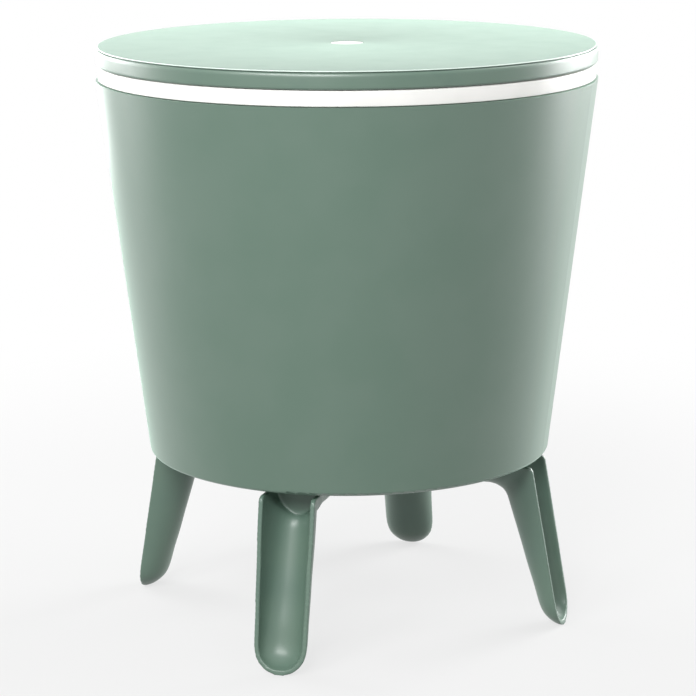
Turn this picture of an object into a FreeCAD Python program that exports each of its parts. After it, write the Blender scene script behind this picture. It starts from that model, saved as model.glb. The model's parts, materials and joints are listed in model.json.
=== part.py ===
import FreeCAD, Part

import math
import os
from types import SimpleNamespace

import Sketcher

# Cooler table with a lid, in millimetres: a tapered drum on four hollow legs holds an ice bucket.
# The table top rides on a central pole, which is pulled up and twisted to lock.
# +Z is up, the floor is z = 0, and the four legs stand along +X, +Y, -X and -Y.

V = FreeCAD.Vector
doc = FreeCAD.newDocument("cooler_table")
sheet = doc.addObject("Spreadsheet::Sheet", "sizes")


# Sizes that can be set by themselves
DRIVING_SIZES = [
    # the drum
    ("shell_foot", 171.2, "height of the drum's floor above the ground"),
    ("shell_height", 372.3, "drum from its floor to its top edge"),
    ("shell_foot_radius", 200.7, "outside, at the bottom"),
    ("shell_top_radius", 246, "outside, at the top edge"),
    ("shell_wall", 3, "wall, floor and top ledge"),
    ("shell_edge_round", 4, "rounding of the bottom edge"),
    ("ledge_width", 16, "top ledge that carries the bucket's rim"),
    ("shell_rib_length", 33, "ribs that carry the insulation, inward from the wall"),
    ("shell_rib_count", 8, "ribs"),
    ("boss_height", 13, "screw bosses and sleeve socket on the drum's floor"),
    # the ice bucket
    ("band_height", 15, "visible white rim"),
    ("band_inset", 2, "rim's side, inward from the drum's top edge"),
    ("band_seam", 0.4, "dark seam between the drum and the rim"),
    ("band_edge_round", 2, "rounding of the rim's upper edge"),
    ("bucket_depth", 256, "inside, from the rim to the floor"),
    ("bucket_wall", 3, "wall and floor"),
    ("bucket_corner_round", 14, "inside corner of wall and floor"),
    ("column_wall", 3, "central column"),
    ("column_drop", 31, "column's top below the rim"),
    ("column_foot_width", 3.5, "column's foot, outward from its side"),
    ("column_foot_wall", 3, "column's foot, on the bucket's floor"),
    ("foam_wall", 18, "insulation round the bucket"),
    ("foam_base", 24, "insulation under the bucket"),
    ("foam_gap", 0.5, "insulation to its neighbours"),
    # the lift
    ("pole_radius", 22, "outside"),
    ("pole_wall", 2.5, "tube"),
    ("sleeve_gap", 2, "pole to the guide sleeve"),
    ("sleeve_wall", 3, "guide sleeve"),
    ("running_gap", 0.3, "between pieces that move on each other"),
    ("fit_gap", 0.1, "between pieces that are fitted together"),
    ("margin", 1, "how far a cutter or a buried root reaches past the face it meets"),
    ("lift_travel", 270, "table top from closed to raised"),
    ("twist_travel", 35, "degrees that lock the pole"),
    ("twist_play", 1, "degrees that the lock pockets are wider than the twist"),
    ("foot_rise", 7.5, "lock foot above the drum's inner floor, closed"),
    ("foot_height", 10, "flange of the lock foot"),
    ("foot_plug_height", 30, "lock foot's plug inside the pole"),
    ("lug_width", 7.4, "lock lugs and guide keys, across"),
    ("lug_height", 8, "lock lugs"),
    ("glide_height", 14, "glide ring"),
    ("key_height", 9, "guide keys of the glide ring"),
    ("collar_flange", 4, "sleeve collar above the column"),
    ("collar_skirt", 16, "sleeve collar's skirt round the column"),
    ("collar_wall", 3.2, "skirt of the sleeve collar"),
    # the table top
    ("lid_gap", 0.8, "table top above the rim"),
    ("lid_height", 16.7, "table top's side"),
    ("lid_inset", 0.5, "table top's side, inward from the drum's top edge"),
    ("lid_wall", 3, "table top's skin and skirt"),
    ("lid_edge_round", 3.4, "rounding of the upper edge"),
    ("lid_lip_height", 3, "rounded lower lip of the skirt"),
    ("lid_lip_inset", 2.2, "lower lip, inward from the side"),
    ("hub_radius", 50, "solid hub under the table top"),
    ("panel_rise", 0.4, "underside panel above the skirt's lower edge"),
    ("panel_wall", 2.2, "underside panel"),
    ("plug_ring_depth", 9, "ring that enters the bucket's mouth"),
    ("plug_ring_gap", 3, "that ring to the bucket's wall"),
    ("plug_ring_flange", 10, "the ring's flange under the panel"),
    ("cap_radius", 16.4, "centre cap"),
    ("cap_height", 3.2, "centre cap's recess"),
    ("cap_sink", 0.3, "centre cap below the table top"),
    ("cap_edge_round", 0.6, "centre cap"),
    ("flange_radius", 47, "pole flange under the lid"),
    ("flange_wall", 4, "pole flange"),
    ("flange_socket", 16, "pole flange's socket below its plate"),
    ("flange_socket_wall", 5, "pole flange's socket"),
    ("pole_plug_height", 32, "threaded plug in the pole's upper end"),
    ("bolt_head_height", 4.5, "pole bolt's head"),
    ("bolt_engagement", 24, "pole bolt's thread in the plug"),
    # the legs
    ("leg_half_width", 26.3, "outer half width near the foot"),
    ("leg_top_half_width", 28.6, "outer half width at the top"),
    ("leg_wall", 4.6, "leg"),
    ("leg_face_out", 25.3, "open face at the ground, outward from the drum's foot"),
    ("leg_face_lean", 9.83, "degrees that the open face leans"),
    ("leg_back_out", 6.3, "the back's line at the ground, outward from the drum's foot"),
    ("leg_back_lean", 17.3, "degrees that the back leans"),
    ("leg_knee_round", 20, "round under the arm"),
    ("leg_toe_round", 33, "round at the toe's back"),
    ("leg_toe_level", 31.8, "centre of that round above the ground"),
    ("leg_foot_flat", 0.6, "how much the toe is flattened"),
    ("leg_arm_radius", 27, "half round arm"),
    ("leg_arm_drop", 2.3, "arm's axis below the drum's floor"),
    ("leg_arm_inset", 96.7, "arm's inner end, inward from the drum's foot"),
    ("leg_web_inset", 37.7, "end of the hollow, inward from the drum's foot"),
    ("leg_blade_drop", 4.8, "top of the open blade below the drum's floor"),
    ("leg_step_inset", 24.7, "where the arm's top steps down to the blade, inward from the drum's foot"),
    ("leg_corner_round", 6, "upper outer corner of the blade"),
    ("leg_screw_inset", 80.7, "leg screws, inward from the drum's foot"),
    ("leg_screw_spread", 28, "between a leg's two screws"),
    ("tongue_width", 24, "leg's tongue"),
    ("tongue_thickness", 5.5, "leg's tongue, above the end of the hollow"),
    ("tongue_height", 11, "leg's tongue above the arm"),
    # the drain
    ("drain_offset", 84, "drain from the centre, along X and along Y"),
    ("spout_bore", 7, "radius of the drain's bore"),
    ("spout_radius", 9.5, "outside"),
    ("spout_drop", 14, "spout below the drum's floor"),
    ("spout_flange_radius", 17, "flange in the bucket"),
    ("spout_flange_wall", 2.5, "flange in the bucket"),
    ("gasket_wall", 2, "under the flange"),
    ("nut_height", 8, "under the bucket's floor"),
    ("nut_radius", 16, "across the corners, from the centre"),
    ("thread_pitch", 4, "drain thread"),
    ("thread_depth", 1.3, "drain thread"),
    ("thread_length", 8, "drain thread"),
    ("cap_wall", 2.6, "drain cap"),
    ("seal_wall", 2.4, "disc in the drain cap"),
    ("grip_count", 16, "ribs on the drain cap"),
    # the fasteners
    ("leg_screw_shank", 2.4, "radius"),
    ("leg_screw_head", 4.6, "radius"),
    ("leg_screw_head_height", 3.2, "head"),
    ("leg_screw_seat", 12, "head's seat below the drum's floor"),
    ("flange_screw_circle", 37, "flange screws, from the centre"),
    ("flange_screw_count", 6, "flange screws"),
    ("flange_screw_length", 12, "under the head"),
    ("small_screw_shank", 1.7, "radius"),
    ("small_screw_head", 3.4, "radius"),
    ("small_screw_head_height", 2, "head"),
    ("pole_bolt_shank", 4, "radius"),
    ("pole_bolt_head", 7, "radius"),
]

for row, (alias, value, note) in enumerate(DRIVING_SIZES, start=1):
    sheet.set(f"A{row}", alias)
    sheet.set(f"B{row}", str(value))
    sheet.set(f"C{row}", note)
    sheet.setAlias(f"B{row}", alias)
doc.recompute()


class Size:
    # A length worked out from the sheet: it reads as arithmetic here and binds as an expression.
    def __init__(self, text):
        self.text = text

    def __add__(self, other):
        return Size(f"({self.text} + {as_size(other).text})")

    def __radd__(self, other):
        return as_size(other) + self

    def __sub__(self, other):
        return Size(f"({self.text} - {as_size(other).text})")

    def __rsub__(self, other):
        return as_size(other) - self

    def __mul__(self, other):
        return Size(f"({self.text} * {as_size(other).text})")

    def __rmul__(self, other):
        return as_size(other) * self

    def __truediv__(self, other):
        return Size(f"({self.text} / {as_size(other).text})")

    def __neg__(self):
        return Size(f"(0 - {self.text})")

    def __float__(self):
        return float(sheet.evalExpression(self.text))


def as_size(value):
    return value if isinstance(value, Size) else Size(repr(value))


class Cells:
    # Each cell of the sheet by its alias
    def __getattr__(self, alias):
        return Size(f"sizes.{alias}")


cell = Cells()


def bind(thing, **sizes):
    for name, size in sizes.items():
        thing.setExpression(name, as_size(size).text)


def place(thing, x=0, y=0, z=0):
    for axis, size in (("x", x), ("y", y), ("z", z)):
        thing.setExpression(f"Placement.Base.{axis}", as_size(size).text)


# Levels and radii that several pieces share
shell_top = cell.shell_foot + cell.shell_height
shell_slope = (cell.shell_top_radius - cell.shell_foot_radius) / cell.shell_height
inner_floor = cell.shell_foot + cell.shell_wall
band_foot = shell_top + cell.band_seam
band_top = band_foot + cell.band_height
band_radius = cell.shell_top_radius - cell.band_inset
bucket_floor = band_top - cell.bucket_depth
bucket_underside = bucket_floor - cell.bucket_wall
foam_underside = bucket_underside - cell.foam_gap - cell.foam_base
sleeve_bore = cell.pole_radius + cell.sleeve_gap
sleeve_radius = sleeve_bore + cell.sleeve_wall
column_bore = sleeve_radius + cell.running_gap
column_radius = column_bore + cell.column_wall
column_top = band_top - cell.column_drop
lid_foot = band_top + cell.lid_gap
lid_top = lid_foot + cell.lid_height
lid_radius = cell.shell_top_radius - cell.lid_inset
panel_foot = lid_foot + cell.panel_rise
hub_foot = panel_foot + cell.panel_wall
foot_floor = inner_floor + cell.foot_rise
foot_top = foot_floor + cell.foot_height
pole_bore = cell.pole_radius - cell.pole_wall
slider_radius = sleeve_bore - cell.running_gap
spout_foot = cell.shell_foot - cell.spout_drop
leg_web = cell.shell_foot_radius - cell.leg_web_inset
leg_screw_circle = cell.shell_foot_radius - cell.leg_screw_inset


def drum_radius(level, inset=0):
    # Radius of the drum's side at a level, and of the sides that run parallel to it further in
    return cell.shell_foot_radius + (level - cell.shell_foot) * shell_slope - inset


foam_outer_inset = cell.shell_wall + cell.foam_gap
foam_inner_inset = foam_outer_inset + cell.foam_wall
bucket_outer_inset = foam_inner_inset + cell.foam_gap
bucket_inner_inset = bucket_outer_inset + cell.bucket_wall


def origin_feature(body, role):
    return [item for item in body.Origin.OriginFeatures if item.Role == role][0]


def new_body(name):
    body = doc.addObject("PartDesign::Body", name)
    body.Label = name
    return body


def new_sketch(body, name, role, offset=0):
    # A sketch on one of the body's own origin planes, lifted along its normal
    sketch = body.newObject("Sketcher::SketchObject", name)
    sketch.AttachmentSupport = [(origin_feature(body, role), "")]
    sketch.MapMode = "FlatFace"
    sketch.setExpression("AttachmentOffset.Base.z", as_size(offset).text)
    return sketch


def hold(sketch, kind, size, *elements):
    # A dimension bound to the sheet
    number = sketch.addConstraint(Sketcher.Constraint(kind, *elements, float(size)))
    sketch.setExpression(f"Constraints[{number}]", as_size(size).text)


def hold_point(sketch, geometry, end, x, y):
    origin = (-1, 1)
    hold(sketch, "DistanceX", x, *origin, geometry, end)
    hold(sketch, "DistanceY", y, *origin, geometry, end)


def draw_polygon(sketch, corners):
    first = sketch.GeometryCount
    count = len(corners)
    spots = [V(float(x), float(y), 0) for x, y in corners]
    for number in range(count):
        sketch.addGeometry(Part.LineSegment(spots[number], spots[(number + 1) % count]), False)
    for number in range(count):
        following = first + (number + 1) % count
        sketch.addConstraint(Sketcher.Constraint("Coincident", first + number, 2, following, 1))
    for number, (x, y) in enumerate(corners):
        hold_point(sketch, first + number, 1, x, y)


def draw_circle(sketch, x, y, radius):
    number = sketch.addGeometry(Part.Circle(V(float(x), float(y), 0), V(0, 0, 1), float(radius)), False)
    hold_point(sketch, number, 3, x, y)
    hold(sketch, "Radius", radius, number)


def turn_profile(body, name, corners):
    # The closed outline (radius, height), turned about the body's Z axis
    sketch = new_sketch(body, f"{name}_outline", "XZ_Plane")
    draw_polygon(sketch, corners)
    turned = body.newObject("PartDesign::Revolution", f"{name}_turned")
    turned.Profile = sketch
    turned.ReferenceAxis = (sketch, ["V_Axis"])
    turned.Angle = 360
    doc.recompute()
    return turned


def pad(body, name, sketch, length, both_ways=False):
    feature = body.newObject("PartDesign::Pad", name)
    feature.Profile = sketch
    feature.Midplane = both_ways
    bind(feature, Length=length)
    doc.recompute()
    return feature


def cut(body, name, sketch, length, both_ways=False, down=False):
    # A pocket that has to take something away
    before = body.Shape.Volume
    feature = body.newObject("PartDesign::Pocket", name)
    feature.Profile = sketch
    feature.Midplane = both_ways
    feature.Reversed = not down
    bind(feature, Length=length)
    doc.recompute()
    if body.Shape.Volume > before - 0.01:
        raise RuntimeError(f"{name} cuts nothing")
    return feature


def repeat(body, name, features, count):
    pattern = body.newObject("PartDesign::PolarPattern", name)
    pattern.Originals = features
    pattern.Axis = (origin_feature(body, "Z_Axis"), [""])
    pattern.Angle = 360
    pattern.Occurrences = int(float(count))
    if isinstance(count, Size):
        bind(pattern, Occurrences=count)
    body.Tip = pattern
    doc.recompute()
    return pattern


def ring_edges(shape, spots):
    # Names of the full circles about Z at the given (radius, height) spots
    names = []
    for number, edge in enumerate(shape.Edges, start=1):
        curve = edge.Curve
        if not isinstance(curve, Part.Circle):
            continue
        for radius, level in spots:
            same_radius = abs(curve.Radius - float(radius)) < 0.01
            same_level = abs(curve.Center.z - float(level)) < 0.01
            centred = math.hypot(curve.Center.x, curve.Center.y) < 0.01
            if same_radius and same_level and centred:
                names.append(f"Edge{number}")
    return names


def round_rings(body, name, radius, spots):
    base = body.Tip
    names = ring_edges(base.Shape, spots)
    if len(names) < len(spots):
        raise RuntimeError(f"{name} finds {len(names)} of {len(spots)} edges")
    feature = body.newObject("PartDesign::Fillet", name)
    feature.Base = (base, names)
    bind(feature, Radius=radius)
    doc.recompute()
    return feature


pieces = []


def finish(piece, name):
    piece.Label = name
    pieces.append(piece)
    return piece


# The drum: a tapered tub with a ledge round its mouth
def make_outer_shell():
    body = new_body("outer_shell")
    ledge_radius = cell.shell_top_radius - cell.ledge_width
    ledge_foot = shell_top - cell.shell_wall
    turn_profile(body, "shell", [
        (0, cell.shell_foot),
        (cell.shell_foot_radius, cell.shell_foot),
        (cell.shell_top_radius, shell_top),
        (ledge_radius, shell_top),
        (ledge_radius, ledge_foot),
        (drum_radius(ledge_foot, cell.shell_wall), ledge_foot),
        (drum_radius(inner_floor, cell.shell_wall), inner_floor),
        (0, inner_floor),
    ])
    round_rings(body, "shell_foot_round", cell.shell_edge_round, [(cell.shell_foot_radius, cell.shell_foot)])

    # ribs that carry the insulation
    rib_sketch = new_sketch(body, "shell_rib_outline", "XZ_Plane")
    buried = cell.shell_wall / 2
    rib_root = drum_radius(inner_floor, cell.shell_wall) - cell.shell_rib_length
    draw_polygon(rib_sketch, [
        (rib_root, inner_floor - buried),
        (drum_radius(inner_floor - buried, buried), inner_floor - buried),
        (drum_radius(foam_underside, buried), foam_underside),
        (rib_root, foam_underside),
    ])
    rib = pad(body, "shell_rib", rib_sketch, cell.shell_wall, both_ways=True)
    repeat(body, "shell_ribs", [rib], cell.shell_rib_count)

    # socket for the guide sleeve's lower end
    socket_sketch = new_sketch(body, "sleeve_socket_outline", "XY_Plane", inner_floor - buried)
    draw_circle(socket_sketch, 0, 0, sleeve_radius + cell.fit_gap)
    draw_circle(socket_sketch, 0, 0, sleeve_radius + cell.fit_gap + cell.shell_wall)
    pad(body, "sleeve_socket", socket_sketch, cell.boss_height + buried)

    # two screw bosses and a slot for each leg
    boss_sketch = new_sketch(body, "leg_boss_outline", "XY_Plane", inner_floor - buried)
    for side in (-1, 1):
        draw_circle(boss_sketch, leg_screw_circle, side * cell.leg_screw_spread / 2,
                    cell.leg_screw_shank + cell.shell_wall)
    boss = pad(body, "leg_bosses", boss_sketch, cell.boss_height + buried)
    repeat(body, "all_leg_bosses", [boss], 4)
    pilot_sketch = new_sketch(body, "leg_pilot_outline", "XY_Plane", cell.shell_foot)
    for side in (-1, 1):
        draw_circle(pilot_sketch, leg_screw_circle, side * cell.leg_screw_spread / 2,
                    cell.leg_screw_shank + cell.fit_gap)
    pilots = cut(body, "leg_pilots", pilot_sketch, cell.shell_wall + cell.boss_height)
    repeat(body, "all_leg_pilots", [pilots], 4)
    slot_sketch = new_sketch(body, "tongue_slot_outline", "XY_Plane", cell.shell_foot)
    slot_start = leg_web - cell.tongue_thickness - cell.running_gap
    slot_end = leg_web + cell.running_gap
    half_width = cell.tongue_width / 2 + cell.running_gap
    draw_polygon(slot_sketch, [
        (slot_start, -half_width),
        (slot_end, -half_width),
        (slot_end, half_width),
        (slot_start, half_width),
    ])
    slot = cut(body, "tongue_slot", slot_sketch, cell.shell_wall)
    repeat(body, "tongue_slots", [slot], 4)

    drain_sketch = new_sketch(body, "shell_drain_outline", "XY_Plane", cell.shell_foot)
    draw_circle(drain_sketch, cell.drain_offset, cell.drain_offset,
                cell.spout_radius + cell.thread_depth + cell.running_gap)
    cut(body, "shell_drain", drain_sketch, cell.shell_wall)
    finish(body, "outer_shell")


# The ice bucket: a tub whose rim shows as the white band, with a hole for the column in its floor
def make_ice_bucket():
    body = new_body("ice_bucket")
    rim_underside = band_top - cell.bucket_wall
    column_hole = column_radius + cell.fit_gap
    turn_profile(body, "bucket", [
        (column_hole, bucket_underside),
        (drum_radius(bucket_underside, bucket_outer_inset), bucket_underside),
        (drum_radius(rim_underside, bucket_outer_inset), rim_underside),
        (band_radius - cell.bucket_wall, rim_underside),
        (band_radius - cell.bucket_wall, band_foot),
        (band_radius, band_foot),
        (band_radius, band_top),
        (drum_radius(band_top, bucket_inner_inset), band_top),
        (drum_radius(bucket_floor, bucket_inner_inset), bucket_floor),
        (column_hole, bucket_floor),
    ])
    round_rings(body, "rim_round", cell.band_edge_round, [
        (band_radius, band_top),
        (drum_radius(band_top, bucket_inner_inset), band_top),
    ])
    round_rings(body, "bucket_corner", cell.bucket_corner_round, [
        (drum_radius(bucket_floor, bucket_inner_inset), bucket_floor),
    ])
    drain_sketch = new_sketch(body, "bucket_drain_outline", "XY_Plane", bucket_underside)
    draw_circle(drain_sketch, cell.drain_offset, cell.drain_offset, cell.spout_radius + cell.running_gap)
    cut(body, "bucket_drain", drain_sketch, cell.bucket_wall)
    finish(body, "ice_bucket")


# The column stands on the bucket's floor round the pole and its guide
def make_pole_column():
    body = new_body("pole_column")
    foot_radius = column_radius + cell.column_foot_width
    column_foot_top = bucket_floor + cell.column_foot_wall
    turn_profile(body, "column", [
        (column_bore, bucket_underside),
        (column_radius, bucket_underside),
        (column_radius, bucket_floor),
        (foot_radius, bucket_floor),
        (foot_radius, column_foot_top),
        (column_radius, column_foot_top),
        (column_radius, column_top),
        (column_bore, column_top),
    ])
    round_rings(body, "column_foot_round", cell.column_foot_wall / 2, [(foot_radius, column_foot_top)])
    cut_collar_holes(body, column_radius + cell.collar_wall, cell.fit_gap)
    finish(body, "pole_column")


def make_wall_insulation():
    body = new_body("wall_insulation")
    foam_top = shell_top - cell.shell_wall - cell.foam_gap
    turn_profile(body, "foam_wall", [
        (drum_radius(foam_underside, foam_inner_inset), foam_underside),
        (drum_radius(foam_underside, foam_outer_inset), foam_underside),
        (drum_radius(foam_top, foam_outer_inset), foam_top),
        (drum_radius(foam_top, foam_inner_inset), foam_top),
    ])
    finish(body, "wall_insulation")


def make_base_insulation():
    body = new_body("base_insulation")
    base_inset = foam_inner_inset + cell.foam_gap
    base_top = bucket_underside - cell.foam_gap
    turn_profile(body, "foam_base", [
        (sleeve_radius + cell.foam_gap, foam_underside),
        (drum_radius(foam_underside, base_inset), foam_underside),
        (drum_radius(base_top, base_inset), base_top),
        (sleeve_radius + cell.foam_gap, base_top),
    ])
    # room for the drain nut above and for the spout below it
    nut_top = new_sketch(body, "foam_nut_outline", "XY_Plane", base_top)
    draw_circle(nut_top, cell.drain_offset, cell.drain_offset, cell.nut_radius + cell.foam_gap)
    cut(body, "foam_nut", nut_top, cell.nut_height + cell.foam_gap, down=True)
    spout_hole = new_sketch(body, "foam_spout_outline", "XY_Plane", foam_underside)
    draw_circle(spout_hole, cell.drain_offset, cell.drain_offset, cell.spout_radius + cell.foam_gap)
    cut(body, "foam_spout", spout_hole, base_top - foam_underside)
    finish(body, "base_insulation")


# Three screws hold the collar, the column and the sleeve together
COLLAR_SCREW_COUNT = 3
collar_screw_level = column_top - cell.collar_skirt / 2


def cut_collar_holes(body, reach, play):
    # Radial holes for the collar screws, through everything out to the given reach
    sketch = new_sketch(body, "collar_hole_outline", "YZ_Plane")
    draw_circle(sketch, 0, collar_screw_level, cell.small_screw_shank + play)
    hole = cut(body, "collar_hole", sketch, reach + cell.running_gap)
    repeat(body, "collar_holes", [hole], COLLAR_SCREW_COUNT)


# The guide sleeve: two vertical tracks, with a pocket for the lock at both ends
lug_floor = foot_floor + (cell.foot_height - cell.lug_height) / 2
key_floor = foot_top + cell.running_gap
track_half_width = cell.lug_width / 2 + cell.running_gap
lug_reach = sleeve_radius - cell.running_gap


def make_guide_sleeve():
    body = new_body("guide_sleeve")
    turn_profile(body, "sleeve", [
        (sleeve_bore, inner_floor),
        (sleeve_radius, inner_floor),
        (sleeve_radius, column_top),
        (sleeve_bore, column_top),
    ])
    track_foot = lug_floor - cell.running_gap
    track_top = key_floor + cell.key_height + cell.lift_travel + cell.running_gap * 2
    track_sketch = new_sketch(body, "track_outline", "XY_Plane", track_foot)
    draw_polygon(track_sketch, [
        (0, -track_half_width),
        (sleeve_radius + cell.margin, -track_half_width),
        (sleeve_radius + cell.margin, track_half_width),
        (0, track_half_width),
    ])
    track = cut(body, "track", track_sketch, track_top - track_foot)
    repeat(body, "tracks", [track], 2)
    for name, rise in (("closed_pocket", 0), ("raised_pocket", cell.lift_travel)):
        pocket = cut_lock_pocket(body, name, track_foot + rise)
        repeat(body, f"{name}s", [pocket], 2)
    cut_collar_holes(body, sleeve_radius, cell.fit_gap)
    finish(body, "guide_sleeve")


def cut_lock_pocket(body, name, level):
    # A sector of the sleeve's wall, as wide as the lug needs when it has turned
    sketch = new_sketch(body, f"{name}_outline", "XZ_Plane")
    top = level + cell.lug_height + cell.running_gap * 2
    draw_polygon(sketch, [
        (sleeve_bore - cell.margin, level),
        (sleeve_radius + cell.margin, level),
        (sleeve_radius + cell.margin, top),
        (sleeve_bore - cell.margin, top),
    ])
    before = body.Shape.Volume
    pocket = body.newObject("PartDesign::Groove", name)
    pocket.Profile = sketch
    pocket.ReferenceAxis = (sketch, ["V_Axis"])
    lug_half_angle = Size(f"(2 * asin({track_half_width.text} / (2 * {sleeve_bore.text})) / 1deg)")
    bind(pocket, Angle=cell.twist_travel + lug_half_angle + cell.twist_play)
    pocket.Reversed = True
    doc.recompute()
    if body.Shape.Volume > before - 0.01:
        raise RuntimeError(f"{name} cuts nothing")
    return pocket


def make_sleeve_collar():
    body = new_body("sleeve_collar")
    skirt_bore = column_radius + cell.fit_gap
    skirt_radius = skirt_bore + cell.collar_wall
    turn_profile(body, "collar", [
        (cell.pole_radius + cell.running_gap, column_top),
        (skirt_bore, column_top),
        (skirt_bore, column_top - cell.collar_skirt),
        (skirt_radius, column_top - cell.collar_skirt),
        (skirt_radius, column_top + cell.collar_flange),
        (cell.pole_radius + cell.running_gap, column_top + cell.collar_flange),
    ])
    cut_collar_holes(body, skirt_radius, cell.fit_gap)
    seat_sketch = new_sketch(body, "collar_screw_seat_outline", "YZ_Plane", skirt_radius)
    draw_circle(seat_sketch, 0, collar_screw_level, cell.small_screw_head + cell.fit_gap)
    seat = cut(body, "collar_screw_seat", seat_sketch, cell.small_screw_head_height, down=True)
    repeat(body, "collar_screw_seats", [seat], COLLAR_SCREW_COUNT)
    round_rings(body, "collar_top_round", cell.collar_flange / 3, [
        (skirt_radius, column_top + cell.collar_flange),
    ])
    finish(body, "sleeve_collar")


# Screws: a head and a shank along +Z, the head below, with a hexagon socket in the head
def make_screw(name, head_radius, head_height, shank_radius, shank_length):
    head = doc.addObject("Part::Cylinder", f"{name}_head")
    bind(head, Radius=head_radius, Height=head_height)
    place(head, z=-head_height)
    shank = doc.addObject("Part::Cylinder", f"{name}_shank")
    bind(shank, Radius=shank_radius, Height=shank_length)
    whole = doc.addObject("Part::Fuse", f"{name}_whole")
    whole.Base = head
    whole.Tool = shank
    socket = doc.addObject("Part::Prism", f"{name}_socket")
    socket.Polygon = 6
    bind(socket, Circumradius=head_radius / 2, Height=head_height / 2)
    place(socket, z=-head_height)
    screw = doc.addObject("Part::Cut", name)
    screw.Base = whole
    screw.Tool = socket
    return screw


def group(name, members):
    # Identical fasteners as one piece of several solids
    compound = doc.addObject("Part::Compound", name)
    compound.Links = members
    finish(compound, name)


def make_leg_screws():
    length = cell.leg_screw_seat + cell.boss_height
    screws = []
    for number in range(4):
        for side in (-1, 1):
            screw = make_screw(f"leg_screw_{len(screws) + 1}", cell.leg_screw_head,
                               cell.leg_screw_head_height, cell.leg_screw_shank, length)
            turn = math.radians(90 * number)
            across = side * cell.leg_screw_spread / 2
            along_x, along_y = round(math.cos(turn)), round(math.sin(turn))
            place(screw,
                  leg_screw_circle * along_x - across * along_y,
                  leg_screw_circle * along_y + across * along_x,
                  cell.shell_foot - cell.leg_screw_seat)
            screws.append(screw)
    group("leg_screws", screws)


def make_radial_screws(name, count, first_angle, head_seat, level, length):
    # Small screws that point at the axis, their heads seated at a radius
    screws = []
    for number in range(count):
        angle = first_angle + 360 * number / count
        screw = make_screw(f"{name}_{number + 1}", cell.small_screw_head, cell.small_screw_head_height,
                           cell.small_screw_shank, length)
        outward = V(math.cos(math.radians(angle)), math.sin(math.radians(angle)), 0)
        screw.Placement = FreeCAD.Placement(V(), FreeCAD.Rotation(V(0, 0, 1), -outward))
        place(screw, head_seat * outward.x, head_seat * outward.y, level)
        screws.append(screw)
    group(name, screws)


def make_collar_screws():
    head_seat = column_radius + cell.fit_gap + cell.collar_wall - cell.small_screw_head_height
    length = head_seat - sleeve_bore - cell.fit_gap
    make_radial_screws("collar_screws", COLLAR_SCREW_COUNT, 0, head_seat, collar_screw_level, length)


# The lift: foot, glide ring, pole and the parts at its upper end
FOOT_SCREW_COUNT = 2
foot_screw_level = key_floor + cell.glide_height + cell.running_gap + cell.small_screw_head


def draw_lug(sketch):
    draw_polygon(sketch, [
        (slider_radius - cell.margin, -cell.lug_width / 2),
        (lug_reach, -cell.lug_width / 2),
        (lug_reach, cell.lug_width / 2),
        (slider_radius - cell.margin, cell.lug_width / 2),
    ])


def cut_foot_screw_holes(body, reach):
    sketch = new_sketch(body, "foot_hole_outline", "XZ_Plane")
    draw_circle(sketch, 0, foot_screw_level, cell.small_screw_shank + cell.fit_gap)
    cut(body, "foot_hole", sketch, reach * 2, both_ways=True)


def make_lock_foot():
    body = new_body("lock_foot")
    plug_radius = pole_bore - cell.fit_gap
    plug_bore = plug_radius - cell.pole_wall
    turn_profile(body, "foot", [
        (plug_bore, foot_floor),
        (slider_radius, foot_floor),
        (slider_radius, foot_top),
        (plug_radius, foot_top),
        (plug_radius, foot_top + cell.foot_plug_height),
        (plug_bore, foot_top + cell.foot_plug_height),
    ])
    lug_sketch = new_sketch(body, "lug_outline", "XY_Plane", lug_floor)
    draw_lug(lug_sketch)
    lug = pad(body, "lug", lug_sketch, cell.lug_height)
    repeat(body, "lugs", [lug], 2)
    cut_foot_screw_holes(body, plug_radius)
    finish(body, "lock_foot")


def make_glide_ring():
    body = new_body("glide_ring")
    turn_profile(body, "glide", [
        (cell.pole_radius + cell.running_gap, key_floor),
        (slider_radius, key_floor),
        (slider_radius, key_floor + cell.glide_height),
        (cell.pole_radius + cell.running_gap, key_floor + cell.glide_height),
    ])
    key_sketch = new_sketch(body, "key_outline", "XY_Plane", key_floor)
    draw_lug(key_sketch)
    key = pad(body, "key", key_sketch, cell.key_height)
    repeat(body, "keys", [key], 2)
    finish(body, "glide_ring")


foot_screw_seat = pole_bore + cell.pole_wall / 2


def make_foot_screws():
    make_radial_screws("foot_screws", FOOT_SCREW_COUNT, 90, foot_screw_seat, foot_screw_level,
                       cell.pole_wall * 1.5)


def make_lift_pole():
    body = new_body("lift_pole")
    turn_profile(body, "pole", [
        (pole_bore, foot_top),
        (cell.pole_radius, foot_top),
        (cell.pole_radius, hub_foot),
        (pole_bore, hub_foot),
    ])
    cut_foot_screw_holes(body, cell.pole_radius + cell.running_gap)
    seat_sketch = new_sketch(body, "foot_screw_seat_outline", "XZ_Plane", foot_screw_seat)
    draw_circle(seat_sketch, 0, foot_screw_level, cell.small_screw_head + cell.fit_gap)
    seat = cut(body, "foot_screw_seat", seat_sketch, cell.pole_wall)
    repeat(body, "foot_screw_seats", [seat], FOOT_SCREW_COUNT)
    finish(body, "lift_pole")


def make_pole_plug():
    body = new_body("pole_plug")
    plug_radius = pole_bore - cell.fit_gap
    turn_profile(body, "plug", [
        (cell.pole_bolt_shank + cell.fit_gap, hub_foot - cell.pole_plug_height),
        (plug_radius, hub_foot - cell.pole_plug_height),
        (plug_radius, hub_foot),
        (cell.pole_bolt_shank + cell.fit_gap, hub_foot),
    ])
    finish(body, "pole_plug")


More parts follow.
